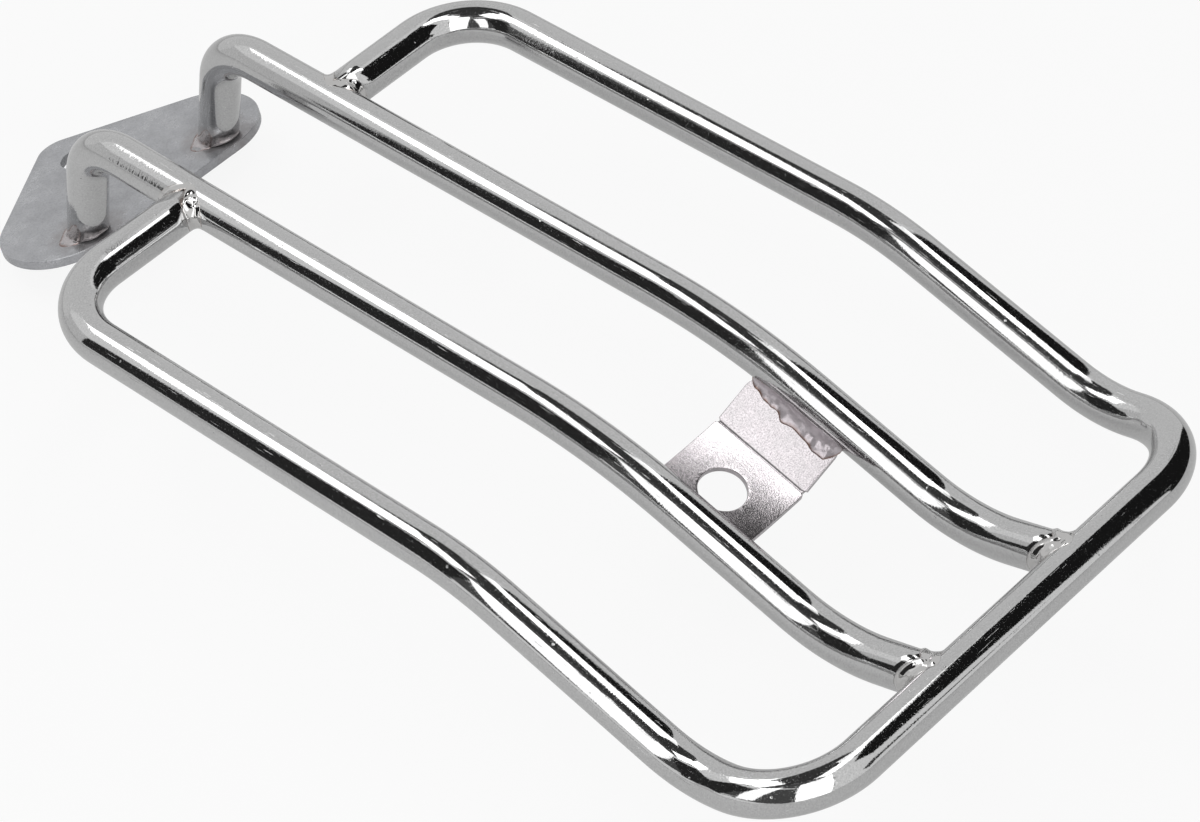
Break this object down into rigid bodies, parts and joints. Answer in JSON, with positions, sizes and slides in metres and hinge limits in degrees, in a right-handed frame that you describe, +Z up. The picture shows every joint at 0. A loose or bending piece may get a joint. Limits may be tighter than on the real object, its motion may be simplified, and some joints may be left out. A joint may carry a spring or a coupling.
{
  "type": "motorcycle luggage rack",
  "caption": "Chromed bar luggage rack: an outer hoop on bent rails, with a bolt-on front plate and a bent rear tab.",
  "frame": {"origin": "centre of the mounting plate's bolt hole, at the plate's underside", "axes": "+X across the rack to the rider's right, +Y forward from the hoop towards the mounting plate, +Z up, at right angles to the flat deck of the rails"},
  "size_m": [0.1836, 0.3913, 0.0658],
  "materials": {
    "hoop_chrome": "mirror chrome over polished steel bar, with small pits",
    "rail_chrome": "mirror chrome over polished steel bar, with small pits",
    "plate_satin": "thin satin plating over rolled steel plate, faintly blotched",
    "tab_satin": "thin plating over grainy blasted steel strip",
    "weld_metal": "plated weld metal, lumpy, with a brown heat tint at its toes"
  },
  "bodies": {
    "root": {"outer_hoop": "hoop_chrome", "left_rail": "rail_chrome", "right_rail": "rail_chrome", "mounting_plate": "plate_satin", "rear_tab": "tab_satin", "hoop_weld_left": "weld_metal", "hoop_weld_right": "weld_metal", "rear_weld_left": "weld_metal", "rear_weld_right": "weld_metal", "leg_weld_left": "weld_metal", "leg_weld_right": "weld_metal", "tab_weld_left": "weld_metal", "tab_weld_right": "weld_metal"}
  },
  "joints": []
}
